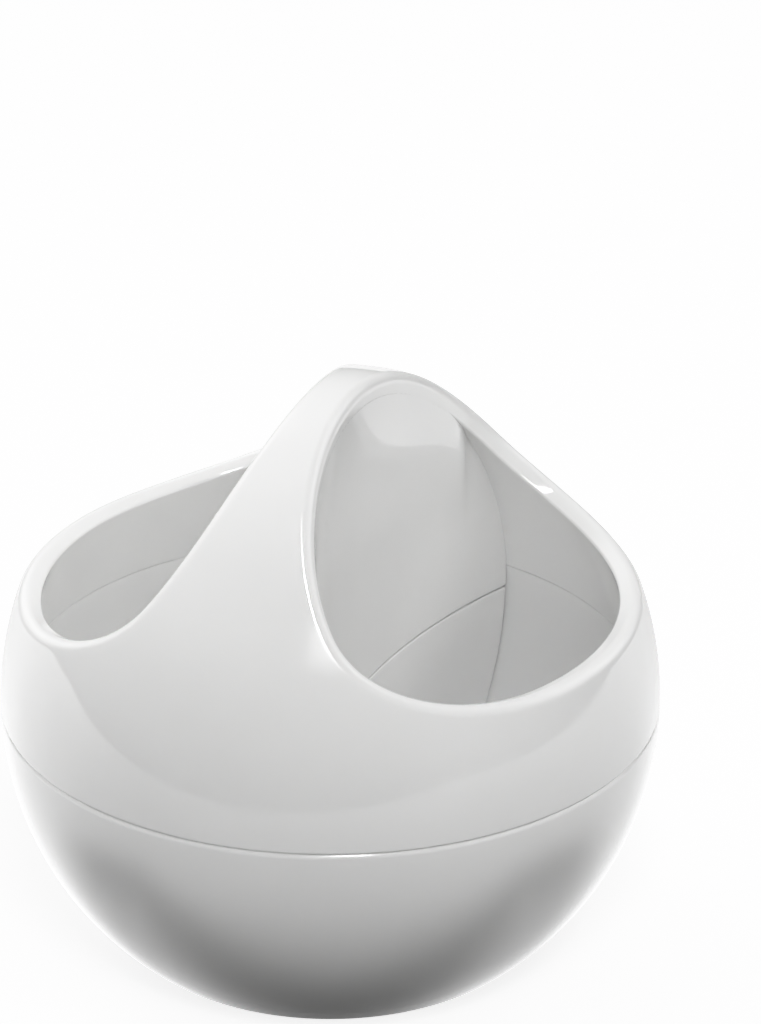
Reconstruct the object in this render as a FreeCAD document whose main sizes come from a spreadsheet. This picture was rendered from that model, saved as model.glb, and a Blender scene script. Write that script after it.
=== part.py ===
"""Ball-shaped make-up storage box: a lower bowl, an upper shell with two mouths and a hollow
handle between them, and a divider that carries the handle's walls on down to the bowl's floor.

Frame: origin at the middle of the base, on the table; +Z up; the handle runs along Y, so that
the mouths open to +X and -X. Millimetres.
"""
import FreeCAD, Part
import math
import os
import Sketcher

doc = FreeCAD.newDocument("storage_box")

# Driving dimensions
SIZES = [
    ("ball_diameter", 115.0, "outside of the ball, across the seam"),
    ("centre_height", 44.0, "height of the ball's centre and of the seam above the table"),
    ("wall", 4.0, "wall of both halves"),
    ("rim_height", 21.0, "lowest part of the mouths' rims above the seam"),
    ("handle_width", 9.5, "width of the handle at the crown"),
    ("mouth_side_less", 8.6, "how much tighter the mouth's edge along the handle bends than its lower rim"),
    ("mouth_corner_less", 3.7, "how much the mouth's corners fall short of half its width"),
    ("rim_round", 2.0, "rounding of the mouths' outer edge"),
    ("handle_wall", 2.0, "side walls of the hollow handle"),
    ("handle_side_radius", 125.0, "sideways flare of the handle's walls, seen from above"),
    ("handle_inset", 0.15, "step from the mouth's inner edge to the handle's wall"),
    ("handle_root", 0.8, "how deep the handle's walls are rooted in the shell"),
    ("lap_height", 4.0, "height of the bowl's tongue above the seam"),
    ("lap_wall", 1.9, "thickness of the bowl's tongue"),
    ("lap_gap", 0.15, "clearance between the tongue and the shell's rebate"),
    ("seam_round", 0.35, "rounding of both edges at the seam"),
    ("foot_width", 5.0, "width of the ring that the bowl stands on"),
    ("foot_recess", 1.2, "depth of the hollow inside that ring"),
    ("foot_round", 1.0, "rounding of the ring's outer edge"),
    ("floor_round", 8.0, "rounding between the bowl's floor and its wall"),
    ("divider_wall", 2.0, "walls and roof of the hollow divider"),
    ("divider_end", 4.0, "end walls of the hollow divider, at the front and the back"),
    ("divider_gap", 0.3, "clearance between the divider and the two halves of the ball"),
    ("tongue_height", 5.0, "height of the divider's tongue inside the handle"),
    ("tongue_gap", 0.2, "clearance between that tongue and the handle's walls"),
    ("rib_height", 6.0, "guide ribs on the bowl's floor, inside the divider"),
    ("rib_end_gap", 2.0, "clearance between the ends of a guide rib and the divider's end walls"),
    ("rib_wall", 1.2, "thickness of the guide ribs"),
    ("rib_gap", 0.15, "clearance between a guide rib and the divider"),
]
sheet = doc.addObject("Spreadsheet::Sheet", "Sizes")
for row, (alias, number, meaning) in enumerate(SIZES, start=1):
    sheet.set(f"A{row}", meaning)
    sheet.set(f"B{row}", str(number))
    sheet.setAlias(f"B{row}", alias)
doc.recompute()

# Sizes that follow from the driving ones
BALL = "(Sizes.ball_diameter / 2)"
INSIDE = f"({BALL} - Sizes.wall)"
CENTRE = "Sizes.centre_height"
BASE = f"sqrt({BALL} ^ 2 - {CENTRE} ^ 2)"
FLOOR = "(Sizes.foot_recess + Sizes.wall)"
TONGUE = f"({INSIDE} + Sizes.lap_wall)"
REBATE = f"({TONGUE} + Sizes.lap_gap)"
EDGE = f"({INSIDE} - Sizes.divider_gap)"
FACE = f"(Sizes.handle_width / 2 * {INSIDE} / {BALL} - Sizes.handle_inset)"
FLARE = "Sizes.handle_side_radius"
HOLLOW = f"({EDGE} - Sizes.divider_end)"
RIB_FACE = f"({FACE} - Sizes.divider_wall - Sizes.rib_gap)"
RIB_END = f"(sqrt({HOLLOW} ^ 2 - ({CENTRE} - {FLOOR}) ^ 2) - Sizes.rib_end_gap)"

# How a sketch numbers its axes, its origin and the points of a line or an arc
X_AXIS, Y_AXIS = range(-1, -3, -1)
START, END, MIDDLE = range(1, 4)
ORIGIN = (X_AXIS, START)
TOLERANCE = 1e-3


def size(expression):
    return sheet.evalExpression(expression)


def plane(body, role):
    return next(f for f in body.Origin.OriginFeatures if f.Role == role)


def new_sketch(body, name, role, lift=None):
    """A sketch on one of the body's own origin planes, raised by lift where one is given."""
    sketch = body.newObject("Sketcher::SketchObject", name)
    sketch.AttachmentSupport = (plane(body, role), "")
    sketch.MapMode = "FlatFace"
    if lift:
        sketch.setExpression("AttachmentOffset.Base.z", lift)
    return sketch


def bind(sketch, kind, *refs, to):
    """A dimension of the sketch that follows an expression."""
    index = sketch.addConstraint(Sketcher.Constraint(kind, *refs, size(to)))
    sketch.setExpression(f"Constraints[{index}]", to)


def fix(sketch, kind, *refs):
    sketch.addConstraint(Sketcher.Constraint(kind, *refs))


def line(sketch, start, end):
    segment = Part.LineSegment(FreeCAD.Vector(*start, 0), FreeCAD.Vector(*end, 0))
    return sketch.addGeometry(segment)


def arc(sketch, centre, radius, first, last):
    """A counter-clockwise arc between two angles, in radians."""
    circle = Part.Circle(FreeCAD.Vector(*centre, 0), FreeCAD.Vector(0, 0, 1), radius)
    return sketch.addGeometry(Part.ArcOfCircle(circle, first, last))


def join(sketch, *ends):
    """Pairs of (geometry, point) that meet."""
    for first, second in ends:
        fix(sketch, "Coincident", *first, *second)


def revolve(body, sketch, name):
    turn = body.newObject("PartDesign::Revolution", name)
    turn.Profile = sketch
    turn.ReferenceAxis = (sketch, ["V_Axis"])
    turn.Angle = 360
    doc.recompute()
    return turn


def round_edges(body, name, radius, chosen):
    """A fillet on the edges of the body that chosen() accepts."""
    base = body.Tip
    edges = enumerate(base.Shape.Edges, start=1)
    names = [f"Edge{i}" for i, edge in edges if not edge.Degenerated and chosen(edge)]
    fillet = body.newObject("PartDesign::Fillet", name)
    fillet.Base = (base, names)
    fillet.setExpression("Radius", radius)
    doc.recompute()
    return fillet


def ring(radius, height):
    """A test for the circular edges of one radius at one height, about the upright axis."""
    centre_point = FreeCAD.Vector(0, 0, size(height))

    def chosen(edge):
        circle = edge.Curve
        return (
            isinstance(circle, Part.Circle)
            and abs(circle.Radius - size(radius)) < TOLERANCE
            and circle.Center.distanceToPoint(centre_point) < TOLERANCE
        )

    return chosen


# Lower bowl: a turned wall with a foot ring, a tongue at the seam and two ribs on its floor
bowl = doc.addObject("PartDesign::Body", "lower_bowl")
profile = new_sketch(bowl, "bowl_profile", "XZ_Plane")
ball, inside, centre = size(BALL), size(INSIDE), size(CENTRE)
base, floor, recess = size(BASE), size(FLOOR), size("Sizes.foot_recess")
tongue, tongue_top = size(TONGUE), size(f"{CENTRE} + Sizes.lap_height")
foot = size(f"{BASE} - Sizes.foot_width")
floor_edge = math.sqrt(inside ** 2 - (centre - floor) ** 2)
outer_start = math.atan2(-centre, base)
inner_start = math.atan2(floor - centre, floor_edge)

underside = line(profile, (0, recess), (foot, recess))
foot_side = line(profile, (foot, recess), (foot, 0))
foot_face = line(profile, (foot, 0), (base, 0))
outer = arc(profile, (0, centre), ball, outer_start, 0)
seam_face = line(profile, (ball, centre), (tongue, centre))
tongue_out = line(profile, (tongue, centre), (tongue, tongue_top))
tongue_end = line(profile, (tongue, tongue_top), (inside, tongue_top))
tongue_in = line(profile, (inside, tongue_top), (inside, centre))
inner = arc(profile, (0, centre), inside, inner_start, 0)
floor_face = line(profile, (floor_edge, floor), (0, floor))
axis = line(profile, (0, floor), (0, recess))
join(
    profile,
    ((underside, END), (foot_side, START)),
    ((foot_side, END), (foot_face, START)),
    ((foot_face, END), (outer, START)),
    ((outer, END), (seam_face, START)),
    ((seam_face, END), (tongue_out, START)),
    ((tongue_out, END), (tongue_end, START)),
    ((tongue_end, END), (tongue_in, START)),
    ((tongue_in, END), (inner, END)),
    ((inner, START), (floor_face, START)),
    ((floor_face, END), (axis, START)),
    ((axis, END), (underside, START)),
)
for level in (underside, foot_face, seam_face, tongue_end, floor_face):
    fix(profile, "Horizontal", level)
for upright in (foot_side, tongue_out, tongue_in):
    fix(profile, "Vertical", upright)
fix(profile, "PointOnObject", axis, START, Y_AXIS)
fix(profile, "PointOnObject", axis, END, Y_AXIS)
fix(profile, "PointOnObject", foot_face, START, X_AXIS)
fix(profile, "PointOnObject", outer, MIDDLE, Y_AXIS)
fix(profile, "Coincident", inner, MIDDLE, outer, MIDDLE)
bind(profile, "DistanceY", *ORIGIN, outer, MIDDLE, to=CENTRE)
bind(profile, "Radius", outer, to=BALL)
bind(profile, "Radius", inner, to=INSIDE)
bind(profile, "DistanceY", *ORIGIN, underside, START, to="Sizes.foot_recess")
bind(profile, "DistanceX", foot_face, START, foot_face, END, to="Sizes.foot_width")
bind(profile, "DistanceY", *ORIGIN, seam_face, START, to=CENTRE)
bind(profile, "DistanceX", *ORIGIN, tongue_out, START, to=TONGUE)
bind(profile, "DistanceY", tongue_out, START, tongue_out, END, to="Sizes.lap_height")
bind(profile, "DistanceY", tongue_in, END, tongue_in, START, to="Sizes.lap_height")
bind(profile, "DistanceY", *ORIGIN, floor_face, START, to=FLOOR)
revolve(bowl, profile, "bowl_wall")
round_edges(bowl, "seam_edge", "Sizes.seam_round", ring(BALL, CENTRE))
round_edges(bowl, "tongue_edge", "Sizes.seam_round", ring(TONGUE, f"{CENTRE} + Sizes.lap_height"))
round_edges(bowl, "foot_edge", "Sizes.foot_round", ring(BASE, "0"))
FLOOR_EDGE = f"sqrt({INSIDE} ^ 2 - ({CENTRE} - {FLOOR}) ^ 2)"
round_edges(bowl, "floor_edge", "Sizes.floor_round", ring(FLOOR_EDGE, FLOOR))

ribs = new_sketch(bowl, "rib_plan", "XY_Plane", lift=f"{FLOOR} - Sizes.wall / 2")
far = size(RIB_FACE)
near = far - size("Sizes.rib_wall")
half = size(RIB_END)
rib_ends = [(near, -half), (far, -half), (far, half), (near, half)]
sides = [line(ribs, rib_ends[i], rib_ends[(i + 1) % 4]) for i in range(4)]
join(ribs, *(((sides[i], END), (sides[(i + 1) % 4], START)) for i in range(4)))
for i in (0, 2):
    fix(ribs, "Horizontal", sides[i])
fix(ribs, "Vertical", sides[3])
fix(ribs, "Symmetric", sides[1], START, sides[1], END, X_AXIS)
bind(ribs, "DistanceX", *ORIGIN, sides[0], END, to=RIB_FACE)
bind(ribs, "DistanceX", sides[0], START, sides[0], END, to="Sizes.rib_wall")
bind(ribs, "DistanceY", sides[1], START, sides[1], END, to=f"2 * {RIB_END}")
rib = bowl.newObject("PartDesign::Pad", "rib")
rib.Profile = ribs
rib.setExpression("Length", "Sizes.rib_height + Sizes.wall / 2")
doc.recompute()
rib_pair = bowl.newObject("PartDesign::Mirrored", "rib_pair")
rib_pair.Originals = [rib]
rib_pair.MirrorPlane = (plane(bowl, "YZ_Plane"), [""])
bowl.Tip = rib_pair
doc.recompute()


# Upper shell: a turned dome whose two mouths are cut square to the wall, seen from the ball's centre
dome = doc.addObject("PartDesign::Body", "dome")
profile = new_sketch(dome, "dome_profile", "YZ_Plane")
LEDGE = "(Sizes.lap_height + Sizes.lap_gap)"
rebate, ledge = size(REBATE), size(LEDGE)
ledge_edge = math.sqrt(inside ** 2 - ledge ** 2)
outer = arc(profile, (0, centre), ball, 0, math.pi / 2)
axis = line(profile, (0, centre + ball), (0, centre + inside))
inner = arc(profile, (0, centre), inside, math.asin(ledge / inside), math.pi / 2)
ledge_face = line(profile, (ledge_edge, centre + ledge), (rebate, centre + ledge))
rebate_side = line(profile, (rebate, centre + ledge), (rebate, centre))
seam_face = line(profile, (rebate, centre), (ball, centre))
join(
    profile,
    ((outer, END), (axis, START)),
    ((axis, END), (inner, END)),
    ((inner, START), (ledge_face, START)),
    ((ledge_face, END), (rebate_side, START)),
    ((rebate_side, END), (seam_face, START)),
    ((seam_face, END), (outer, START)),
)
for level in (ledge_face, seam_face):
    fix(profile, "Horizontal", level)
fix(profile, "Vertical", rebate_side)
fix(profile, "PointOnObject", axis, START, Y_AXIS)
fix(profile, "PointOnObject", axis, END, Y_AXIS)
fix(profile, "PointOnObject", outer, MIDDLE, Y_AXIS)
fix(profile, "Coincident", inner, MIDDLE, outer, MIDDLE)
bind(profile, "DistanceY", *ORIGIN, outer, MIDDLE, to=CENTRE)
bind(profile, "Radius", outer, to=BALL)
bind(profile, "Radius", inner, to=INSIDE)
bind(profile, "DistanceX", *ORIGIN, rebate_side, START, to=REBATE)
bind(profile, "DistanceY", rebate_side, END, rebate_side, START, to=LEDGE)
bind(profile, "DistanceY", *ORIGIN, seam_face, END, to=CENTRE)
revolve(dome, profile, "dome_wall")
round_edges(dome, "seam_edge", "Sizes.seam_round", ring(BALL, CENTRE))


def mouth_section(name, above):
    """The mouth's outline at a height above the ball's centre, where its edges run to that centre:
    an arc along the lower rim, two corners, and a large arc along the handle."""
    grown = f"{above} / Sizes.rim_height"
    half_width = "(Sizes.handle_width / 2)"
    gap = f"({half_width} * {above} / sqrt({BALL} ^ 2 - {half_width} ^ 2))"
    rim = f"(sqrt({BALL} ^ 2 - Sizes.rim_height ^ 2) * {grown})"
    side = f"({rim} - Sizes.mouth_side_less * {grown})"
    corner = f"(({rim} - {gap}) / 2 - Sizes.mouth_corner_less * {grown})"
    rim_r, corner_r, side_r = size(rim), size(corner), size(side)
    side_x = size(gap) + side_r
    corner_x = ((rim_r - corner_r) ** 2 - (side_r - corner_r) ** 2 + side_x ** 2) / (2 * side_x)
    corner_y = math.sqrt((rim_r - corner_r) ** 2 - corner_x ** 2)
    rim_turn = math.atan2(corner_y, corner_x)
    side_turn = math.atan2(corner_y, corner_x - side_x)

    sketch = new_sketch(dome, name, "XY_Plane", lift=f"{CENTRE} + {above}")
    rim_arc = arc(sketch, (0, 0), rim_r, -rim_turn, rim_turn)
    back = arc(sketch, (corner_x, corner_y), corner_r, rim_turn, side_turn)
    side_arc = arc(sketch, (side_x, 0), side_r, side_turn, 2 * math.pi - side_turn)
    front = arc(sketch, (corner_x, -corner_y), corner_r, -side_turn, -rim_turn)
    for first, second in ((rim_arc, back), (back, side_arc), (side_arc, front), (front, rim_arc)):
        fix(sketch, "Tangent", first, END, second, START)
    fix(sketch, "Coincident", rim_arc, MIDDLE, *ORIGIN)
    fix(sketch, "PointOnObject", side_arc, MIDDLE, X_AXIS)
    bind(sketch, "Radius", rim_arc, to=rim)
    bind(sketch, "Radius", back, to=corner)
    bind(sketch, "Radius", front, to=corner)
    bind(sketch, "Radius", side_arc, to=side)
    bind(sketch, "DistanceX", *ORIGIN, side_arc, MIDDLE, to=f"{gap} + {side}")
    return sketch


mouth_low = mouth_section("mouth_low", "(Sizes.rim_height / 2)")
mouth_high = mouth_section("mouth_high", f"({BALL} + Sizes.wall)")
doc.recompute()
mouth = dome.newObject("PartDesign::SubtractiveLoft", "mouth")
mouth.Profile = mouth_low
mouth.Sections = [mouth_high]
mouth.Ruled = True
doc.recompute()
mouths = dome.newObject("PartDesign::Mirrored", "mouths")
mouths.Originals = [mouth]
mouths.MirrorPlane = (plane(dome, "YZ_Plane"), [""])
dome.Tip = mouths
doc.recompute()


def mouth_rim(edge):
    """The edges of the mouths on the outside of the ball: above the seam's rounding, and not the
    ball's own meridian, which has no width along X."""
    middle = FreeCAD.Vector(0, 0, centre)
    spots = (edge.FirstParameter, edge.LastParameter, (edge.FirstParameter + edge.LastParameter) / 2)
    on_ball = all(abs(edge.valueAt(spot).distanceToPoint(middle) - ball) < TOLERANCE for spot in spots)
    above_seam = edge.BoundBox.ZMin > centre + 2 * size("Sizes.seam_round")
    return on_ball and above_seam and edge.BoundBox.XLength > TOLERANCE


round_edges(dome, "mouth_rims", "Sizes.rim_round", mouth_rim)

# Hollow handle: two walls under the mouths' inner edges, from the crown down to the seam


def hourglass(name, radius, end, low, tall):
    """An upright block, waisted between two large arcs that bow in towards the middle. Its two ends
    lie on a circle about the middle."""
    side_r, end_r = size(radius), size(end)
    side_x = size(f"{FACE} + {FLARE}")
    corner_x = (end_r ** 2 - side_r ** 2 + side_x ** 2) / (2 * side_x)
    corner_y = math.sqrt(end_r ** 2 - corner_x ** 2)
    end_turn = math.atan2(corner_y, corner_x)
    side_turn = math.atan2(corner_y, corner_x - side_x)

    plan = doc.addObject("Sketcher::SketchObject", f"{name}_plan")
    plan.setExpression("Placement.Base.z", low)
    right = arc(plan, (side_x, 0), side_r, side_turn, 2 * math.pi - side_turn)
    front = arc(plan, (0, 0), end_r, end_turn - math.pi, -end_turn)
    left = arc(plan, (-side_x, 0), side_r, side_turn - math.pi, math.pi - side_turn)
    back = arc(plan, (0, 0), end_r, end_turn, math.pi - end_turn)
    join(
        plan,
        ((right, START), (back, START)),
        ((back, END), (left, END)),
        ((left, START), (front, START)),
        ((front, END), (right, END)),
    )
    for side in (right, left):
        fix(plan, "PointOnObject", side, MIDDLE, X_AXIS)
        bind(plan, "Radius", side, to=radius)
    for curve in (front, back):
        fix(plan, "Coincident", curve, MIDDLE, *ORIGIN)
        bind(plan, "Radius", curve, to=end)
    bind(plan, "DistanceX", *ORIGIN, right, MIDDLE, to=f"{FACE} + {FLARE}")
    bind(plan, "DistanceX", left, MIDDLE, *ORIGIN, to=f"{FACE} + {FLARE}")

    block = doc.addObject("Part::Extrusion", name)
    block.Base = plan
    block.DirMode = "Normal"
    block.Solid = True
    block.setExpression("LengthFwd", tall)
    return block


def ball_of(name, radius):
    """A ball about the same centre as the object's own."""
    item = doc.addObject("Part::Sphere", name)
    item.setExpression("Radius", radius)
    item.setExpression("Placement.Base.z", CENTRE)
    return item


def combine(kind, name, base, tool):
    result = doc.addObject(f"Part::{kind}", name)
    result.Base = base
    result.Tool = tool
    return result


BEHIND_WALL = f"{FLARE} + Sizes.handle_wall"
handle_block = hourglass("handle_block", FLARE, EDGE, CENTRE, BALL)
handle_hollow = hourglass("handle_hollow", BEHIND_WALL, BALL, CENTRE, BALL)
handle_sides = combine("Cut", "handle_sides", handle_block, handle_hollow)
handle_crown = ball_of("handle_crown", f"{INSIDE} + Sizes.handle_root")
handle_walls = combine("Common", "handle_walls", handle_sides, handle_crown)
shell = combine("Fuse", "upper_shell", dome, handle_walls)
doc.recompute()

# Divider: hollow, open below and flush with the handle's walls, with a tongue that stands up into the handle.
# The room that it fills is the inside of the ball less a clearance, down to the bowl's floor.
room = doc.addObject("PartDesign::Body", "divider_room")
profile = new_sketch(room, "room_profile", "XZ_Plane")
ROOM_EDGE = f"sqrt({EDGE} ^ 2 - ({CENTRE} - {FLOOR}) ^ 2)"
edge, room_edge = size(EDGE), size(ROOM_EDGE)
floor_face = line(profile, (0, floor), (room_edge, floor))
inner = arc(profile, (0, centre), edge, math.atan2(floor - centre, room_edge), math.pi / 2)
axis = line(profile, (0, centre + edge), (0, floor))
join(
    profile,
    ((floor_face, END), (inner, START)),
    ((inner, END), (axis, START)),
    ((axis, END), (floor_face, START)),
)
fix(profile, "Horizontal", floor_face)
fix(profile, "PointOnObject", axis, START, Y_AXIS)
fix(profile, "PointOnObject", axis, END, Y_AXIS)
fix(profile, "PointOnObject", inner, MIDDLE, Y_AXIS)
bind(profile, "DistanceY", *ORIGIN, inner, MIDDLE, to=CENTRE)
bind(profile, "Radius", inner, to=EDGE)
bind(profile, "DistanceY", *ORIGIN, floor_face, START, to=FLOOR)
revolve(room, profile, "room_wall")
round_edges(room, "room_floor", "Sizes.floor_round", ring(ROOM_EDGE, FLOOR))

ROOF = f"({CENTRE} - Sizes.divider_gap)"
TONGUE_SIDE = f"{BEHIND_WALL} + Sizes.tongue_gap"
HOLLOW_SIDE = f"{FLARE} + Sizes.divider_wall"
divider_block = hourglass("divider_block", FLARE, BALL, "0", ROOF)
tongue_block = hourglass("tongue_block", TONGUE_SIDE, BALL, "0", f"{ROOF} + Sizes.tongue_height")
divider_stack = combine("Fuse", "divider_stack", divider_block, tongue_block)
divider_solid = combine("Common", "divider_solid", divider_stack, room)
hollow_block = hourglass("hollow_block", HOLLOW_SIDE, BALL, "0", f"{ROOF} - Sizes.divider_wall")
hollow_ball = ball_of("hollow_ball", HOLLOW)
divider_hollow = combine("Common", "divider_hollow", hollow_block, hollow_ball)
divider = combine("Cut", "compartment_divider", divider_solid, divider_hollow)
doc.recompute()

for item in doc.Objects:
    if {"Invalid", "Error"} & set(item.State):
        raise RuntimeError(f"{item.Label} failed: {item.State}")

SUB_PARTS = (bowl, shell, divider)
for part in SUB_PARTS:
    if part.Shape.isNull() or not part.Shape.isValid() or len(part.Shape.Solids) != 1:
        raise RuntimeError(f"{part.Label} has no sound solid")
os.makedirs("parts", exist_ok=True)
for part in SUB_PARTS:
    part.Shape.exportStep(f"parts/{part.Label}.step")
    print(part.Label, round(part.Shape.Volume), "mm3")
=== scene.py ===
import math

import bmesh
import bpy
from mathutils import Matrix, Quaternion, Vector


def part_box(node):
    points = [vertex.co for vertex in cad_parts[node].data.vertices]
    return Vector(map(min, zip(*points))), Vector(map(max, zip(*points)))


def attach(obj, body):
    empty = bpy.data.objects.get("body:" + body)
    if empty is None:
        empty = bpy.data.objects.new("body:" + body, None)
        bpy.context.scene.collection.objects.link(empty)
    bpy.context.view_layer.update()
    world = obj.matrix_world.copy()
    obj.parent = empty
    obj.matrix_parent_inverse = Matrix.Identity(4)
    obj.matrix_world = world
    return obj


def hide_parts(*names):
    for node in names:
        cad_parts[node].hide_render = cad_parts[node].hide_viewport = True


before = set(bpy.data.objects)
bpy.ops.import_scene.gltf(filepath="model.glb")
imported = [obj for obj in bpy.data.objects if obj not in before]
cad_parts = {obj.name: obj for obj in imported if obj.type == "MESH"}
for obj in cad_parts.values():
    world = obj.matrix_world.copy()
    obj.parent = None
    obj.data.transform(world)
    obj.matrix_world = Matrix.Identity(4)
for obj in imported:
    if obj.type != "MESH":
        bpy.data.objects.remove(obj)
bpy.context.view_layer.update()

# Lower bowl: the bottom half of the ball, injection moulded in glossy white plastic. It stands on a
# narrow ring round a shallow hollow, where the mould's gate has left a small sunk disc. A thin tongue
# along its top edge takes the upper half, and two low ribs on its floor keep the divider in place.
MM = 0.001
shell_low, shell_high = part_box("upper_shell")
_, bowl_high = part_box("lower_bowl")
seam = shell_low.z
ball = shell_high.z - seam
middle = Vector((0, 0, seam))
wall = 4.0 * MM
inside = ball - wall
tongue_wall = 1.9 * MM
seam_round = 0.35 * MM
bowl_edge_round = 0.9 * MM
foot_width = 5.0 * MM
foot_recess = 1.2 * MM
foot_round = 0.9 * MM
floor_round = 8.0 * MM
floor_height = foot_recess + wall
base = math.sqrt(ball ** 2 - seam ** 2)
gate_radius = 2.2 * MM
gate_depth = 0.4 * MM
handle_width = 9.5 * MM
handle_inset = 0.15 * MM
divider_gap = 0.3 * MM
divider_wall = 2.0 * MM
divider_end = 4.0 * MM
face = handle_width / 2 * inside / ball - handle_inset
reach = inside - divider_gap
hollow = reach - divider_end
rib_wall = 1.2 * MM
rib_height = 6.0 * MM
rib_gap = 0.15 * MM
rib_end_gap = 2.0 * MM
rib_root = wall / 2
TURN_STEPS = 224
OUTER_STEPS = 52
INNER_STEPS = 40
FLOOR_ROUND_STEPS = 12
FLOOR_STEPS = 6
SEAM_SEGMENTS = 5
FOOT_SEGMENTS = 4
EDGE_SEGMENTS = 3
TINY = 0.002 * MM


def extend(bm, vert, x, z):
    """Carries a turned profile on, in a straight line, to a radius and a height."""
    end = bmesh.ops.extrude_vert_indiv(bm, verts=[vert])["verts"][0]
    end.co = (x, 0, z)
    return end


def sweep(bm, vert, centre, angle, steps):
    """Carries a turned profile on along an arc about a centre in its own plane; on the outer side a
    positive angle climbs."""
    made = bmesh.ops.spin(bm, geom=[vert], cent=centre, axis=(0, -1, 0), angle=angle, steps=steps)
    return next(item for item in made["geom_last"] if isinstance(item, bmesh.types.BMVert))


def turn(bm):
    """Spins a finished profile once round the upright axis and closes it."""
    profile = bm.verts[:] + bm.edges[:]
    bmesh.ops.spin(
        bm, geom=profile, cent=(0, 0, 0), axis=(0, 0, 1), angle=math.tau, steps=TURN_STEPS, use_merge=True
    )
    bmesh.ops.remove_doubles(bm, verts=bm.verts, dist=TINY)
    bmesh.ops.recalc_face_normals(bm, faces=bm.faces)


def ring_edges(bm, radius, height):
    """The edges of one turned ring."""
    slack = 0.02 * MM

    def on_ring(vert):
        return abs(vert.co.xy.length - radius) < slack and abs(vert.co.z - height) < slack

    return [edge for edge in bm.edges if on_ring(edge.verts[0]) and on_ring(edge.verts[1])]


def soften(bm, edges, radius, segments):
    bmesh.ops.bevel(
        bm, geom=edges, offset=radius, affect="EDGES", segments=segments, profile=0.5, material=-1
    )


def as_piece(name, bm):
    mesh = bpy.data.meshes.new(name)
    bm.to_mesh(mesh)
    bm.free()
    piece = bpy.data.objects.new(name, mesh)
    bpy.context.scene.collection.objects.link(piece)
    return piece


def unite(piece, other):
    """Makes one moulding of two solids."""
    join = piece.modifiers.new("join", "BOOLEAN")
    join.operation = "UNION"
    join.solver = "EXACT"
    join.object = other
    whole = piece.evaluated_get(bpy.context.evaluated_depsgraph_get())
    piece.data = bpy.data.meshes.new_from_object(whole)
    piece.modifiers.clear()
    bpy.data.objects.remove(other)


def shade(piece):
    """Smooth shading with a crease at each real edge, where the larger faces keep their own normals."""
    crease = math.radians(32)
    bm = bmesh.new()
    bm.from_mesh(piece.data)
    for face in bm.faces:
        face.smooth = True
    for edge in bm.edges:
        edge.smooth = len(edge.link_faces) == 2 and edge.calc_face_angle() < crease
    bm.to_mesh(piece.data)
    bm.free()
    normals = piece.modifiers.new("weighted normals", "WEIGHTED_NORMAL")
    normals.keep_sharp = True


bm = bmesh.new()
foot = bm.verts.new((base, 0, 0))
outer = sweep(bm, foot, middle, math.pi / 2 - math.asin(base / ball), OUTER_STEPS)
lap = extend(bm, outer, inside + tongue_wall, seam)
lap = extend(bm, lap, inside + tongue_wall, bowl_high.z)
lap = extend(bm, lap, inside, bowl_high.z)
inner = extend(bm, lap, inside, seam)
round_height = floor_height + floor_round
round_radius = math.sqrt((inside - floor_round) ** 2 - (seam - round_height) ** 2)
round_turn = math.atan2(seam - round_height, round_radius)
inner = sweep(bm, inner, middle, -round_turn, INNER_STEPS)
floor_turn = round_turn - math.pi / 2
inner = sweep(bm, inner, (round_radius, 0, round_height), floor_turn, FLOOR_ROUND_STEPS)
for step in reversed(range(FLOOR_STEPS)):
    inner = extend(bm, inner, round_radius * step / FLOOR_STEPS, floor_height)
under = extend(bm, foot, base - foot_width, 0)
under = extend(bm, under, base - foot_width, foot_recess)
under = extend(bm, under, gate_radius, foot_recess)
under = extend(bm, under, gate_radius, foot_recess + gate_depth)
extend(bm, under, 0, foot_recess + gate_depth)
turn(bm)
soften(bm, ring_edges(bm, ball, seam), bowl_edge_round, SEAM_SEGMENTS)
soften(bm, ring_edges(bm, inside + tongue_wall, bowl_high.z), seam_round, EDGE_SEGMENTS)
soften(bm, ring_edges(bm, inside, bowl_high.z), seam_round, EDGE_SEGMENTS)
soften(bm, ring_edges(bm, base, 0), foot_round, FOOT_SEGMENTS)
soften(bm, ring_edges(bm, base - foot_width, 0), seam_round, EDGE_SEGMENTS)
bowl = as_piece("lower_bowl_white", bm)
rib_length = 2 * (math.sqrt(hollow ** 2 - (seam - floor_height) ** 2) - rib_end_gap)
rib_across = face - divider_wall - rib_gap - rib_wall / 2
rib_level = floor_height + (rib_height - rib_root) / 2
for side in (-1, 1):
    bm = bmesh.new()
    bmesh.ops.create_cube(bm, size=1)
    bmesh.ops.scale(bm, vec=(rib_wall, rib_length, rib_height + rib_root), verts=bm.verts)
    bmesh.ops.translate(bm, vec=(rib_across * side, 0, rib_level), verts=bm.verts)
    unite(bowl, as_piece("floor_rib", bm))
shade(bowl)


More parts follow.
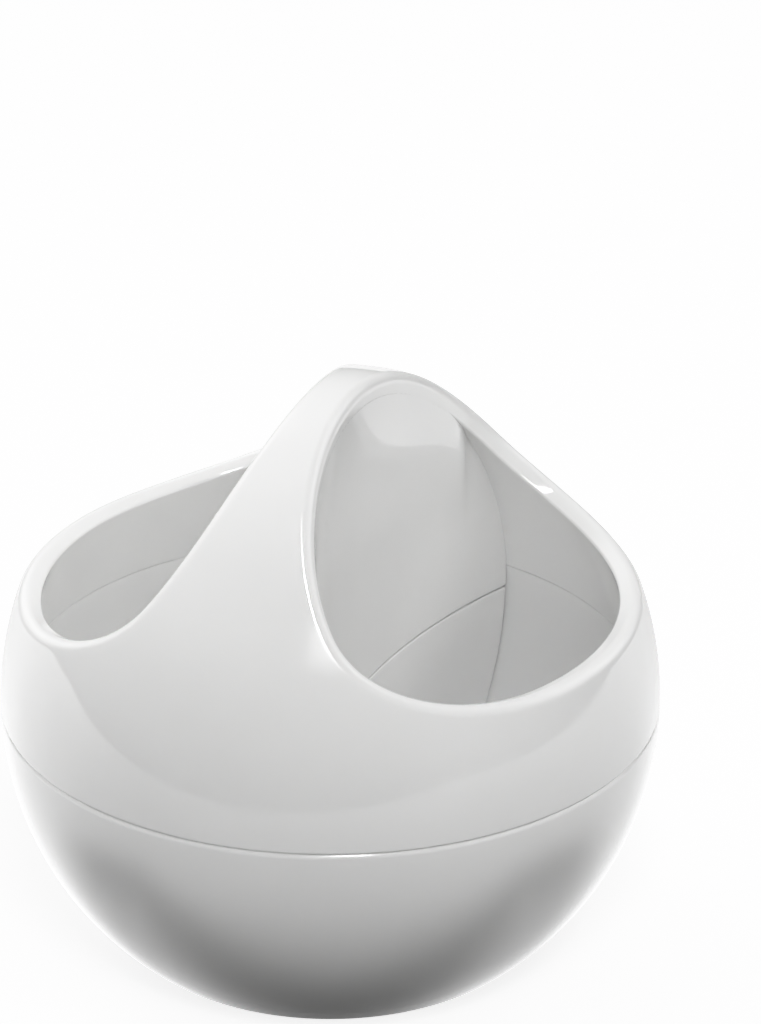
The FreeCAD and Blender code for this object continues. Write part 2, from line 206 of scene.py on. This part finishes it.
def moulded_gloss():
    """Polished moulded plastic: a little unevenness of tone, the long soft waviness of a cooled
    moulding, faint hairlines from use and the smudges that hands leave."""
    group = bpy.data.node_groups.new("moulded_gloss", "ShaderNodeTree")
    sockets = (
        ("Color", "INPUT", "NodeSocketColor"),
        ("Roughness", "INPUT", "NodeSocketFloat"),
        ("Smudges", "INPUT", "NodeSocketFloat"),
        ("Color", "OUTPUT", "NodeSocketColor"),
        ("Roughness", "OUTPUT", "NodeSocketFloat"),
        ("Height", "OUTPUT", "NodeSocketFloat"),
    )
    for name, way, kind in sockets:
        group.interface.new_socket(name=name, in_out=way, socket_type=kind)
    nodes, links = group.nodes, group.links
    taken = nodes.new("NodeGroupInput")
    given = nodes.new("NodeGroupOutput")
    place = nodes.new("ShaderNodeTexCoord").outputs["Object"]

    def noise(scale, detail, stretch=(1, 1, 1)):
        mapping = nodes.new("ShaderNodeMapping")
        mapping.inputs["Scale"].default_value = stretch
        links.new(place, mapping.inputs["Vector"])
        texture = nodes.new("ShaderNodeTexNoise")
        texture.inputs["Scale"].default_value = scale
        texture.inputs["Detail"].default_value = detail
        links.new(mapping.outputs["Vector"], texture.inputs["Vector"])
        return texture.outputs["Fac"]

    def spread(source, low, high, to_low, to_high):
        span = nodes.new("ShaderNodeMapRange")
        for name, number in zip(("From Min", "From Max", "To Min", "To Max"), (low, high, to_low, to_high)):
            span.inputs[name].default_value = number
        links.new(source, span.inputs["Value"])
        return span.outputs["Result"]

    def combined(kind, first, second):
        maths = nodes.new("ShaderNodeMath")
        maths.operation = kind
        for socket, source in zip(maths.inputs, (first, second)):
            links.new(source, socket)
        return maths.outputs["Value"]

    tone = nodes.new("ShaderNodeHueSaturation")
    links.new(taken.outputs["Color"], tone.inputs["Color"])
    uneven = noise(scale=38, detail=3)
    links.new(spread(uneven, low=0.3, high=0.7, to_low=0.985, to_high=1.01), tone.inputs["Value"])
    links.new(tone.outputs["Color"], given.inputs["Color"])

    smudge = spread(noise(scale=62, detail=5), low=0.52, high=0.72, to_low=0, to_high=0.14)
    scratches = noise(scale=900, detail=2, stretch=(1, 0.04, 0.3))
    hairline = spread(scratches, low=0.66, high=0.72, to_low=0, to_high=0.05)
    marks = combined("MULTIPLY", combined("ADD", smudge, hairline), taken.outputs["Smudges"])
    links.new(combined("ADD", marks, taken.outputs["Roughness"]), given.inputs["Roughness"])

    waves = noise(scale=55, detail=1)
    grain = spread(noise(scale=1400, detail=2), low=0, high=1, to_low=0, to_high=0.006)
    links.new(combined("ADD", waves, grain), given.inputs["Height"])
    return group


gloss_group = moulded_gloss()
plastic_white = (0.88, 0.88, 0.875)
plastic_ior = 1.53
wave_height = 0.02 * MM
scatter_share = 0.08
scatter_reach = (1.0, 0.95, 0.9)
scatter_scale = 1.2 * MM


def white_plastic(name, color, roughness, smudges):
    """A material of the moulded gloss, with its own tone and wear."""
    material = bpy.data.materials.new(name)
    material.use_nodes = True
    nodes, links = material.node_tree.nodes, material.node_tree.links
    shader = nodes["Principled BSDF"]
    gloss = nodes.new("ShaderNodeGroup")
    gloss.node_tree = gloss_group
    gloss.inputs["Color"].default_value = (*color, 1)
    gloss.inputs["Roughness"].default_value = roughness
    gloss.inputs["Smudges"].default_value = smudges
    bump = nodes.new("ShaderNodeBump")
    bump.inputs["Strength"].default_value = 1.0
    bump.inputs["Distance"].default_value = wave_height
    links.new(gloss.outputs["Color"], shader.inputs["Base Color"])
    links.new(gloss.outputs["Roughness"], shader.inputs["Roughness"])
    links.new(gloss.outputs["Height"], bump.inputs["Height"])
    links.new(bump.outputs["Normal"], shader.inputs["Normal"])
    shader.inputs["IOR"].default_value = plastic_ior
    shader.inputs["Subsurface Weight"].default_value = scatter_share
    shader.inputs["Subsurface Radius"].default_value = scatter_reach
    shader.inputs["Subsurface Scale"].default_value = scatter_scale
    return material


def dress(piece, material, body, node):
    """Gives a piece its finish, ties it to its body, and hides the imported part that it stands for."""
    piece.data.materials.clear()
    piece.data.materials.append(material)
    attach(piece, body)
    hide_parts(node)


bowl_gloss = white_plastic("bowl_gloss", plastic_white, roughness=0.07, smudges=0.5)
dress(bowl, bowl_gloss, "bowl", "lower_bowl")

# Compartment divider: a hollow white moulding, open below, that stands over the two ribs on the bowl's
# floor and keeps the two compartments apart. It is waisted like the handle above it, and a tongue on its
# roof stands up into the hollow handle.
flare = 125.0 * MM
handle_wall = 2.0 * MM
divider_tongue = 5.0 * MM
divider_round = 0.25 * MM
tongue_gap = 0.2 * MM
tongue_shoulder = 0.6 * MM
roof = seam - divider_gap
SIDE_STEPS = 64
END_STEPS = 8
RISE_STEPS = 40


def waist_corner(side_radius, end_radius):
    """Where a waisted outline's bowed side meets its round end."""
    centre = face + flare
    x = (end_radius ** 2 - side_radius ** 2 + centre ** 2) / (2 * centre)
    return Vector((x, math.sqrt(end_radius ** 2 - x ** 2)))


def waisted(column, side_radius, end_radius, height):
    """A point on a waisted outline, which has two sides that bow in and two round ends."""
    corner = waist_corner(side_radius, end_radius)
    half, step = divmod(column, SIDE_STEPS + END_STEPS)
    if step < SIDE_STEPS:
        y = corner.y * (1 - 2 * step / SIDE_STEPS)
        x = face + flare - math.sqrt(side_radius ** 2 - y ** 2)
    else:
        first = math.atan2(corner.y, corner.x)
        angle = -first - (step - SIDE_STEPS) / END_STEPS * (math.pi - 2 * first)
        x, y = end_radius * math.cos(angle), end_radius * math.sin(angle)
    turned = -1 if half else 1
    return Vector((x * turned, y * turned, height))


def room_radius(height):
    """The radius of the bowl's inside, less the divider's clearance, with its rounded floor edge."""
    round_edge = math.sqrt((reach - floor_round) ** 2 - (seam - round_height) ** 2)
    blend = seam - reach * (seam - round_height) / (reach - floor_round)
    if height < blend:
        return round_edge + math.sqrt(floor_round ** 2 - (round_height - height) ** 2)
    return math.sqrt(reach ** 2 - (seam - height) ** 2)


def start_ring(bm, columns, place):
    """A closed ring of numbered columns."""
    number = bm.verts.layers.int.new("column")
    bmesh.ops.create_circle(bm, segments=columns, radius=1)
    for column, vert in enumerate(bm.verts):
        vert[number] = column
        vert.co = place(column)
    return bm.edges[:]


def grow(bm, ring, place):
    """Extrudes a ring of numbered columns to its next place, and gives the new ring."""
    number = bm.verts.layers.int["column"]
    made = bmesh.ops.extrude_edge_only(bm, edges=ring)["geom"]
    for vert in made:
        if isinstance(vert, bmesh.types.BMVert):
            vert.co = place(vert[number])
    return [item for item in made if isinstance(item, bmesh.types.BMEdge)]


bm = bmesh.new()
rise = (roof - floor_height) / RISE_STEPS
floor_ring = start_ring(
    bm, 2 * (SIDE_STEPS + END_STEPS), lambda c: waisted(c, flare, room_radius(floor_height), floor_height)
)
ring = floor_ring
for step in range(1, RISE_STEPS + 1):
    height = floor_height + rise * step
    ring = grow(bm, ring, lambda c: waisted(c, flare, room_radius(height), height))
roof_ring = ring
tongue_side = flare + handle_wall + tongue_gap
tongue_end = room_radius(roof) - tongue_shoulder
tongue_top = roof + divider_tongue
ring = grow(bm, ring, lambda c: waisted(c, tongue_side, tongue_end, roof))
tongue_tip = tongue_end - tongue_shoulder / 2
tongue_ring = grow(bm, ring, lambda c: waisted(c, tongue_side, tongue_tip, tongue_top))
bmesh.ops.contextual_create(bm, geom=tongue_ring)
hollow_side = flare + divider_wall
ceiling = roof - divider_wall
ring = floor_ring
for step in range(RISE_STEPS + 1):
    height = floor_height + (ceiling - floor_height) * step / RISE_STEPS
    end = math.sqrt(hollow ** 2 - (seam - height) ** 2)
    ring = grow(bm, ring, lambda c: waisted(c, hollow_side, end, height))
bmesh.ops.contextual_create(bm, geom=ring)
bmesh.ops.recalc_face_normals(bm, faces=bm.faces)
CORNER = math.radians(50)
floor_edges = set(floor_ring)
corners = [
    edge for edge in bm.edges
    if edge.calc_face_angle() > CORNER and edge not in floor_edges
    and max(v.co.xy.length for v in edge.verts) > hollow and edge.verts[0].co.z != edge.verts[1].co.z
]
soften(bm, corners + roof_ring + tongue_ring, divider_round, EDGE_SEGMENTS)
divider = as_piece("compartment_divider_white", bm)
shade(divider)
divider_gloss = white_plastic("divider_gloss", plastic_white, roughness=0.1, smudges=0.7)
dress(divider, divider_gloss, "bowl", "compartment_divider")

# Upper shell: the top half of the ball, one moulding with the handle. Two mouths are cut through its
# wall, square to it, with a generous rounding outside. What is left between them is the handle, whose
# two side walls run on down from the mouths' edges as far as the seam.
rim_height = 21.0 * MM
mouth_side_less = 8.6 * MM
mouth_corner_less = 3.7 * MM
rim_round = 2.0 * MM
inner_round = 0.5 * MM
handle_root = 0.8 * MM
lap_gap = 0.15 * MM
ledge = bowl_high.z - seam + lap_gap
rebate = inside + tongue_wall + lap_gap
rim_radius = math.sqrt(ball ** 2 - rim_height ** 2)
handle_edge = handle_width / 2 * rim_height / math.sqrt(ball ** 2 - (handle_width / 2) ** 2)
side_radius = rim_radius - mouth_side_less
corner_radius = (rim_radius - handle_edge) / 2 - mouth_corner_less
side_centre = Vector((handle_edge + side_radius, 0))
to_rim, to_side = rim_radius - corner_radius, side_radius - corner_radius
corner_x = (to_rim ** 2 - to_side ** 2 + side_centre.x ** 2) / (2 * side_centre.x)
corner_centre = Vector((corner_x, math.sqrt(to_rim ** 2 - corner_x ** 2)))
COLUMNS = 288
OUTER_ROWS = 40
INNER_ROWS = 30
ROUND_STEPS = 8
INNER_ROUND_STEPS = 4
SHELL_SEAM_SEGMENTS = 4
FIT_PASSES = 4
FINEST = 1e-9
mouth_tilt = math.radians(50)
mouth_axis = Vector((math.cos(mouth_tilt), 0, math.sin(mouth_tilt)))
towards_handle = Vector((-math.sin(mouth_tilt), 0, math.cos(mouth_tilt)))
along_handle = Vector((0, 1, 0))


def beyond_mouth(way):
    """How far a direction from the ball's middle passes outside the mouth, measured at the rim's height:
    the mouth is the overlap of two discs, with its two corners rounded."""
    spot = Vector((way.x, abs(way.y))) * rim_height / max(way.z, TINY)
    from_corner = spot - corner_centre
    from_side = corner_centre - side_centre
    past_rim = corner_centre.x * from_corner.y - corner_centre.y * from_corner.x > 0
    past_side = from_corner.x * from_side.y - from_corner.y * from_side.x > 0
    if past_rim and past_side:
        return from_corner.length - corner_radius
    return max(spot.length - rim_radius, (spot - side_centre).length - side_radius)


def fan(column):
    """The direction in which a column of the shell leaves the mouth's middle."""
    angle = math.tau * column / COLUMNS
    return towards_handle * math.cos(angle) + along_handle * math.sin(angle)


def mouth_edge(column):
    near, far = 0.0, math.pi / 2
    while far - near > FINEST:
        half = (near + far) / 2
        way = mouth_axis * math.cos(half) + fan(column) * math.sin(half)
        near, far = (half, far) if beyond_mouth(way) < 0 else (near, half)
    return mouth_axis * math.cos(near) + fan(column) * math.sin(near)


def half_edge(column):
    """Where a column leaves its half of the shell: at the seam, or half-way across the handle."""
    out = fan(column)
    angle = min(math.atan2(mouth_axis.z, -out.z), math.atan2(mouth_axis.x, -out.x))
    way = mouth_axis * math.cos(angle) + out * math.sin(angle)
    return Vector((max(way.x, 0), way.y, max(way.z, 0))).normalized()


mouth_edges = [mouth_edge(column) for column in range(COLUMNS)]
half_edges = [half_edge(column) for column in range(COLUMNS)]
round_tilt = math.asin(rim_round / (ball - rim_round))
inner_tilt = math.asin(inner_round / (inside + inner_round))
ledge_tilt = math.asin(ledge / inside)


def away_from_mouth(column):
    run = mouth_edges[(column + 1) % COLUMNS] - mouth_edges[column - 1]
    across = run.cross(mouth_edges[column]).normalized()
    return across if across.dot(fan(column)) > 0 else -across


def rounding(column, part):
    """A point on the rim's rounding: part is 0 where it leaves the ball and 1 where it meets the cut."""
    edge, away = mouth_edges[column], away_from_mouth(column)
    up = edge * math.cos(round_tilt) + away * math.sin(round_tilt)
    over = edge * math.sin(round_tilt) - away * math.cos(round_tilt)
    angle = part * (math.pi / 2 + round_tilt)
    return middle + up * (ball - rim_round) + (up * math.cos(angle) + over * math.sin(angle)) * rim_round


def inner_rounding(column, part):
    """A point on the small rounding inside: part is 0 where it leaves the cut and 1 on the inner skin."""
    edge, away = mouth_edges[column], away_from_mouth(column)
    up = edge * math.cos(inner_tilt) + away * math.sin(inner_tilt)
    over = edge * math.sin(inner_tilt) - away * math.cos(inner_tilt)
    angle = inner_tilt + part * (math.pi / 2 - inner_tilt)
    out = over * math.cos(angle) - up * math.sin(angle)
    return middle + up * (inside + inner_round) + out * inner_round


def inner_half_edge(column):
    """As half_edge, on the inner skin, which starts at the ledge over the bowl's tongue."""
    way = half_edges[column]
    climb = math.asin(min(way.z, 1))
    climb = ledge_tilt + climb * (1 - ledge_tilt / (math.pi / 2))
    flat = Vector((way.x, way.y, 0)).normalized()
    return flat * math.cos(climb) + Vector((0, 0, math.sin(climb)))


def skin(bm, ring, place, rows, radius):
    """Grows a ring to a far edge, and lays the rows between them on a ball."""
    far_ring = set(grow(bm, ring, place))
    far_verts = {vert for edge in far_ring for vert in edge.verts}
    rungs = [edge for vert in far_verts for edge in vert.link_edges if edge not in far_ring]
    split = bmesh.ops.subdivide_edges(bm, edges=rungs, cuts=rows, use_grid_fill=True)
    for item in split["geom_inner"]:
        if isinstance(item, bmesh.types.BMVert):
            item.co = middle + (item.co - middle).normalized() * radius


bm = bmesh.new()
mouth_ring = start_ring(bm, COLUMNS, lambda c: rounding(c, 0))
skin(bm, mouth_ring, lambda c: middle + half_edges[c] * ball, OUTER_ROWS, ball)
ring = mouth_ring
for step in range(1, ROUND_STEPS + 1):
    ring = grow(bm, ring, lambda c: rounding(c, step / ROUND_STEPS))
for step in range(INNER_ROUND_STEPS + 1):
    ring = grow(bm, ring, lambda c: inner_rounding(c, step / INNER_ROUND_STEPS))
skin(bm, ring, lambda c: middle + inner_half_edge(c) * inside, INNER_ROWS, inside)
lap = [
    edge for edge in bm.edges
    if len(edge.link_faces) == 1 and all(abs(vert.co.z - seam) < TINY for vert in edge.verts)
]
for radius, height in ((rebate, 0), (rebate, ledge), (inside * math.cos(ledge_tilt), ledge)):
    made = bmesh.ops.extrude_edge_only(bm, edges=lap)["geom"]
    lap = [item for item in made if isinstance(item, bmesh.types.BMEdge)]
    for vert in made:
        if isinstance(vert, bmesh.types.BMVert):
            out = vert.co.xy.normalized() * radius
            vert.co = (out.x, out.y, seam + height)
bmesh.ops.remove_doubles(bm, verts=bm.verts, dist=TINY)
bmesh.ops.mirror(bm, geom=bm.verts[:] + bm.edges[:] + bm.faces[:], axis="X", merge_dist=TINY)
bmesh.ops.remove_doubles(bm, verts=bm.verts, dist=TINY)
bmesh.ops.recalc_face_normals(bm, faces=bm.faces)
soften(bm, ring_edges(bm, ball, seam), seam_round, SHELL_SEAM_SEGMENTS)
shell = as_piece("upper_shell_white", bm)

fairing = 24.0 * MM
fairing_end = 41.0 * MM
fairing_fade = 8.0 * MM
flush = 0.04 * MM


def mouth_cut(y, height):
    """How far the mouth's cut along the handle lies from the middle, at a height above the seam."""
    grown = height / rim_height
    return grown * side_centre.x - math.sqrt((grown * side_radius) ** 2 - y ** 2)


def drawn_out(y, height, plain):
    """How far the wall stands out near its top, so that it runs into the mouth's cut without a step."""
    top = math.sqrt(inside ** 2 - y ** 2 - plain ** 2)
    for _ in range(FIT_PASSES):
        top = math.sqrt(inside ** 2 - y ** 2 - mouth_cut(y, top) ** 2)
    fade = min(max((fairing_end - abs(y)) / fairing_fade, 0), 1)
    fade = fade * fade * (3 - 2 * fade)
    if height > top:
        return (mouth_cut(y, height) - flush - plain) * fade
    part = max((height - top) / fairing + 1, 0)
    step = mouth_cut(y, top) - flush - plain
    slope = (mouth_cut(y, top + MM) - mouth_cut(y, top)) / MM
    rise = step * (10 - 15 * part + 6 * part ** 2)
    lean = slope * fairing * (4 - 7 * part + 3 * part ** 2)
    return part ** 3 * (rise - lean) * fade


def handle_side(along, up, radius):
    """A point on a face of the handle's side wall; along runs from -1 to 1 and up from 0 to 1."""
    y = waist_corner(radius, reach).y * along
    x = face + flare - math.sqrt(radius ** 2 - y ** 2)
    height = math.sqrt((inside + handle_root) ** 2 - x ** 2 - y ** 2) * up
    if radius == flare and abs(y) < fairing_end:
        x += drawn_out(y, height, x)
    return Vector((x, y, seam + height))


bm = bmesh.new()
spot = bm.verts.layers.float_vector.new("spot")
bmesh.ops.create_grid(bm, x_segments=SIDE_STEPS, y_segments=RISE_STEPS, size=1)
for vert in bm.verts:
    vert[spot] = vert.co
front = bm.faces[:]
back = bmesh.ops.extrude_face_region(bm, geom=front)["geom"]
back = {item for item in back if isinstance(item, bmesh.types.BMVert)}
for vert in bm.verts:
    along, up = vert[spot].x, (vert[spot].y + 1) / 2
    vert.co = handle_side(along, up, flare + handle_wall if vert in back else flare)
bmesh.ops.recalc_face_normals(bm, faces=bm.faces)
low_edges = [
    edge for edge in bm.edges
    if all(abs(vert.co.z - seam) < TINY for vert in edge.verts) and edge.calc_face_angle() > CORNER
]
soften(bm, low_edges, divider_round, EDGE_SEGMENTS)
bmesh.ops.mirror(bm, geom=bm.verts[:] + bm.edges[:] + bm.faces[:], axis="X", merge_dist=TINY)
bmesh.ops.recalc_face_normals(bm, faces=bm.faces)
unite(shell, as_piece("handle_sides", bm))
shade(shell)
shell_gloss = white_plastic("shell_gloss", plastic_white, roughness=0.06, smudges=0.6)
dress(shell, shell_gloss, "top", "upper_shell")

# Floor and backdrop: one pale seamless sweep all round, so that every side is seen against plain paper. A
# copy that only scattered light meets is black round the object, a painted shade that keeps the paper's
# bounce off the bowl and darkens it below.
paper_radius = 1.7
paper_bend = 0.9
paper_top = 2.2
PAPER_STEPS = 8
PAPER_BEND_STEPS = 16
paper_white = 0.86
paper_roughness = 0.75
paper_glow = 0.85
flag_radius = 0.34
flag_clear_radius = 0.46
flag_height = 0.5 * MM
bm = bmesh.new()
edge = bm.verts.new((0, 0, 0))
for step in range(1, PAPER_STEPS + 1):
    edge = extend(bm, edge, paper_radius * step / PAPER_STEPS, 0)
edge = sweep(bm, edge, (paper_radius, 0, paper_bend), math.pi / 2, PAPER_BEND_STEPS)
extend(bm, edge, paper_radius + paper_bend, paper_top)
turn(bm)
paper = as_piece("paper_sweep", bm)
paper_finish = bpy.data.materials.new("paper")
paper_finish.use_nodes = True
paper_shader = paper_finish.node_tree.nodes["Principled BSDF"]
paper_shader.inputs["Base Color"].default_value = (paper_white, paper_white, paper_white, 1)
paper_shader.inputs["Roughness"].default_value = paper_roughness
paper_shader.inputs["Specular IOR Level"].default_value = 0
paper_shader.inputs["Emission Color"].default_value = (1, 1, 1, 1)
paper_shader.inputs["Emission Strength"].default_value = paper_glow
paper.data.materials.append(paper_finish)
paper.visible_diffuse = False
paper.visible_glossy = False
shade(paper)


def works_on(piece, diffuse=False, glossy=False):
    """Leaves a helper of the stage to work on one kind of light only."""
    piece.visible_camera = False
    piece.visible_shadow = False
    piece.visible_transmission = False
    piece.visible_diffuse = diffuse
    piece.visible_glossy = glossy


def bare_material(name):
    """A material without a surface yet, for the stage's helpers."""
    material = bpy.data.materials.new(name)
    material.use_nodes = True
    nodes = material.node_tree.nodes
    nodes.remove(nodes["Principled BSDF"])
    return material, nodes, material.node_tree.links, nodes["Material Output"].inputs["Surface"]


bm = bmesh.new()
bm.from_mesh(paper.data)
bmesh.ops.translate(bm, vec=(0, 0, flag_height), verts=bm.verts)
bounce = as_piece("paper_bounce", bm)
flagged, nodes, links, surface = bare_material("flagged_paper")
matt = nodes.new("ShaderNodeBsdfDiffuse")
from_middle = nodes.new("ShaderNodeVectorMath")
from_middle.operation = "LENGTH"
links.new(nodes.new("ShaderNodeTexCoord").outputs["Object"], from_middle.inputs[0])
# Painted shade: black within the flag's radius, fading to paper white beyond.
fade = nodes.new("ShaderNodeMapRange")
fade.interpolation_type = "SMOOTHSTEP"
fade.inputs["From Min"].default_value = flag_radius
fade.inputs["From Max"].default_value = flag_clear_radius
fade.inputs["To Max"].default_value = paper_white
links.new(from_middle.outputs["Value"], fade.inputs["Value"])
links.new(fade.outputs["Result"], matt.inputs["Color"])
links.new(matt.outputs["BSDF"], surface)
bounce.data.materials.append(flagged)
works_on(bounce, diffuse=True)

# Table and surroundings: painted reflections, glowing surfaces that only the polish shows. The table's
# reflection is bright, with a painted shade round the foot that lies closer in front than at the sides, and
# ends in front and at the right. Round it stand painted reflections of pale cards and two painted
# highlights, a small soft patch and a tall strip in place of a lamp; each is given as azimuth, elevation,
# spread across, spread up and brightness.
camera_azimuth = 20.7
camera_elevation = 27.5
table_front = -0.25
table_right = 0.45
table_height = 0.6 * MM
table_glow = 1.36
table_left_more = 0.65
table_right_more = 0.45
table_front_more = 0.4
sides_from, sides_to = 46, 92
front_from, front_to = 60 * MM, 90 * MM
front_ends, front_gone = 25, 70
table_back_less = 0.5
back_from, back_to = 115, 150
shade_near = 46 * MM
shade_spread = 34 * MM
shade_width = 17 * MM
shade_turn = 52
shade_ends, shade_gone = 60, 90
PAINTED_REFLECTION_EDGE = 4
PAINTED_REFLECTIONS = (
    (15, 0, 95, 22, 0.85),
    (15, 35, 95, 15, 0.76),
    (-115, 33, 33, 18, 1.6),
    (135, 33, 25, 18, 1.92),
    # Painted highlights: a small soft patch, and a tall bright strip in place of a lamp.
    (20, 43, 9, 8, 4),
    (29, 66, 8, 19, 100),
)


def towards(azimuth, elevation):
    """The direction from the ball to a place round it, in degrees; azimuth 0 is straight in front."""
    turned, raised = math.radians(azimuth), math.radians(elevation)
    return Vector((
        math.sin(turned) * math.cos(raised), -math.cos(turned) * math.cos(raised), math.sin(raised)
    ))


def turned_from(azimuth, way):
    """How far a direction is turned from an azimuth, from -180 to 180 degrees."""
    return (math.degrees(math.atan2(way.x, -way.y)) - azimuth + 180) % 360 - 180


def ramp(value, start, stop):
    """Runs smoothly from 0 at the start to 1 at the stop."""
    part = min(1, max(0, (value - start) / (stop - start)))
    return part * part * (3 - 2 * part)


def table_reflection_brightness(spot):
    """How bright the painted reflection of the table is at a spot, darker in its painted shade round the
    foot.
    """
    turned = turned_from(camera_azimuth, spot)
    aside, away = abs(turned), spot.xy.length
    shade_at = shade_near + shade_spread * min(aside / shade_turn, 1) ** 2
    painted_shade = math.exp(-(((away - shade_at) / shade_width) ** 2)) * (1 - ramp(aside, shade_ends, shade_gone))
    side_more = table_left_more if turned < 0 else table_right_more
    side_more *= ramp(aside, sides_from, sides_to)
    return (
        (table_glow * (1 - painted_shade) + side_more) * (1 - table_back_less * ramp(aside, back_from, back_to))
        + table_front_more * ramp(away, front_from, front_to) * (1 - ramp(aside, front_ends, front_gone))
    )


def room_reflection_brightness(spot):
    """How bright the painted reflections of the surroundings are at a spot."""
    way = (spot - middle).normalized()
    raised = math.degrees(math.asin(way.z))
    total = 0
    for azimuth, elevation, across, up, brightness in PAINTED_REFLECTIONS:
        aside = (turned_from(azimuth, way) / across) ** PAINTED_REFLECTION_EDGE
        above = ((raised - elevation) / up) ** PAINTED_REFLECTION_EDGE
        total += brightness * math.exp(-aside - above)
    return total


def mirrored(name, bm, brightness):
    """Makes a glowing surface that only reflections show, a painted reflection with its own brightness at
    each point.
    """
    glow = bm.verts.layers.float.new("glow")
    for vert in bm.verts:
        vert[glow] = brightness(vert.co)
    piece = as_piece(name, bm)
    material, nodes, links, surface = bare_material(name)
    light = nodes.new("ShaderNodeEmission")
    read = nodes.new("ShaderNodeAttribute")
    read.attribute_name = "glow"
    links.new(read.outputs["Fac"], light.inputs["Strength"])
    links.new(light.outputs["Emission"], surface)
    piece.data.materials.append(material)
    works_on(piece, glossy=True)


table_start = 30 * MM
table_growth = 1.1
TABLE_STEPS = 38
bm = bmesh.new()
edge = bm.verts.new((table_start, 0, table_height))
for step in range(1, TABLE_STEPS + 1):
    edge = extend(bm, edge, table_start * table_growth ** step, table_height)
turn(bm)
for place, outward in (((0, table_front, 0), (0, -1, 0)), ((table_right, 0, 0), (1, 0, 0))):
    everything = bm.verts[:] + bm.edges[:] + bm.faces[:]
    bmesh.ops.bisect_plane(bm, geom=everything, plane_co=place, plane_no=outward, clear_outer=True)
mirrored("painted_table_reflection", bm, table_reflection_brightness)

surroundings_radius = 1.5
SPHERE_COLUMNS = 180
SPHERE_ROWS = 90
bm = bmesh.new()
bmesh.ops.create_uvsphere(
    bm, u_segments=SPHERE_COLUMNS, v_segments=SPHERE_ROWS, radius=surroundings_radius
)
bmesh.ops.translate(bm, vec=middle, verts=bm.verts)
mirrored("painted_room_reflection", bm, room_reflection_brightness)

# Lights: soft boxes at the left and behind, one high at the right, and weaker ones in front. They light the
# matt body under the polish; the painted reflections above are what the polish shows.
lamp_distance = 1.2


def soft_box(name, azimuth, elevation, size, power):
    """An area light that faces the ball."""
    lamp = bpy.data.lights.new(name, "AREA")
    lamp.shape = "RECTANGLE"
    lamp.size, lamp.size_y = size
    lamp.energy = power
    item = bpy.data.objects.new(name, lamp)
    item.location = middle + towards(azimuth, elevation) * lamp_distance
    item.rotation_mode = "QUATERNION"
    item.rotation_quaternion = towards(azimuth, elevation).to_track_quat("Z", "Y")
    item.visible_glossy = False
    bpy.context.scene.collection.objects.link(item)


soft_box("left_side", -75, 25, (0.8, 0.9), 4.0)
soft_box("left_behind", -108, 35, (0.8, 0.8), 5.0)
soft_box("behind_left", -140, 25, (0.8, 0.8), 4.0)
soft_box("behind_left_high", -140, 55, (0.8, 0.8), 2.0)
soft_box("behind", 190, 40, (1.2, 0.8), 4.5)
soft_box("right_high", 110, 50, (0.8, 0.8), 4.4)
soft_box("front_right", 65, 40, (0.7, 0.7), 2.3)
soft_box("front_low", 10, 15, (0.8, 0.4), 2.6)
soft_box("over_camera", 25, 48, (0.3, 0.3), 3.0)
world = bpy.data.worlds.new("room")
world.use_nodes = True
world.node_tree.nodes["Background"].inputs["Color"].default_value = (1, 1, 1, 1)
world.node_tree.nodes["Background"].inputs["Strength"].default_value = 0
bpy.context.scene.world = world

# Film: tones as they are, with highlights that roll off softly, so that white plastic keeps its form.
brightest = 1.35
ALL_CHANNELS = 3
ROLL_OFF = ((0.75, 0.75), (0.9, 0.87), (1.05, 0.95), (1.2, 0.99))
film = bpy.context.scene.view_settings
film.view_transform = "Standard"
film.use_curve_mapping = True
film.curve_mapping.white_level = (brightest, brightest, brightest)
tones = film.curve_mapping.curves[ALL_CHANNELS]
for light, shown in ROLL_OFF:
    tones.points.new(light / brightest, shown)
for point in tones.points:
    point.handle_type = "VECTOR"
film.curve_mapping.update()

# Camera: at the photograph's height and side, with a long lens. The picture is 761 by 1024 pixels, and
# the ball's middle lies left of its centre and well below it.
PICTURE = Vector((761, 1024))
BALL_AT = Vector((330.5, 692.0))
FOCAL_PIXELS = 4270
SENSOR = 36.0
BALLS_AWAY = 13
roll = math.radians(0.25)
distance = BALLS_AWAY * ball
back = towards(camera_azimuth, camera_elevation)
lens = bpy.data.cameras.new("camera")
lens.sensor_width = SENSOR
lens.lens = FOCAL_PIXELS * SENSOR / PICTURE.y
camera = bpy.data.objects.new("camera", lens)
camera.location = middle + back * distance
camera.rotation_mode = "QUATERNION"
to_right = Vector((0, 0, 1)).cross(back).normalized()
upward = back.cross(to_right)
off_centre = (PICTURE / 2 - BALL_AT) / FOCAL_PIXELS * distance
aim = middle + to_right * off_centre.x - upward * off_centre.y
camera.rotation_quaternion = (camera.location - aim).to_track_quat("Z", "Y") @ Quaternion((0, 0, 1), roll)
bpy.context.scene.collection.objects.link(camera)
bpy.context.scene.camera = camera
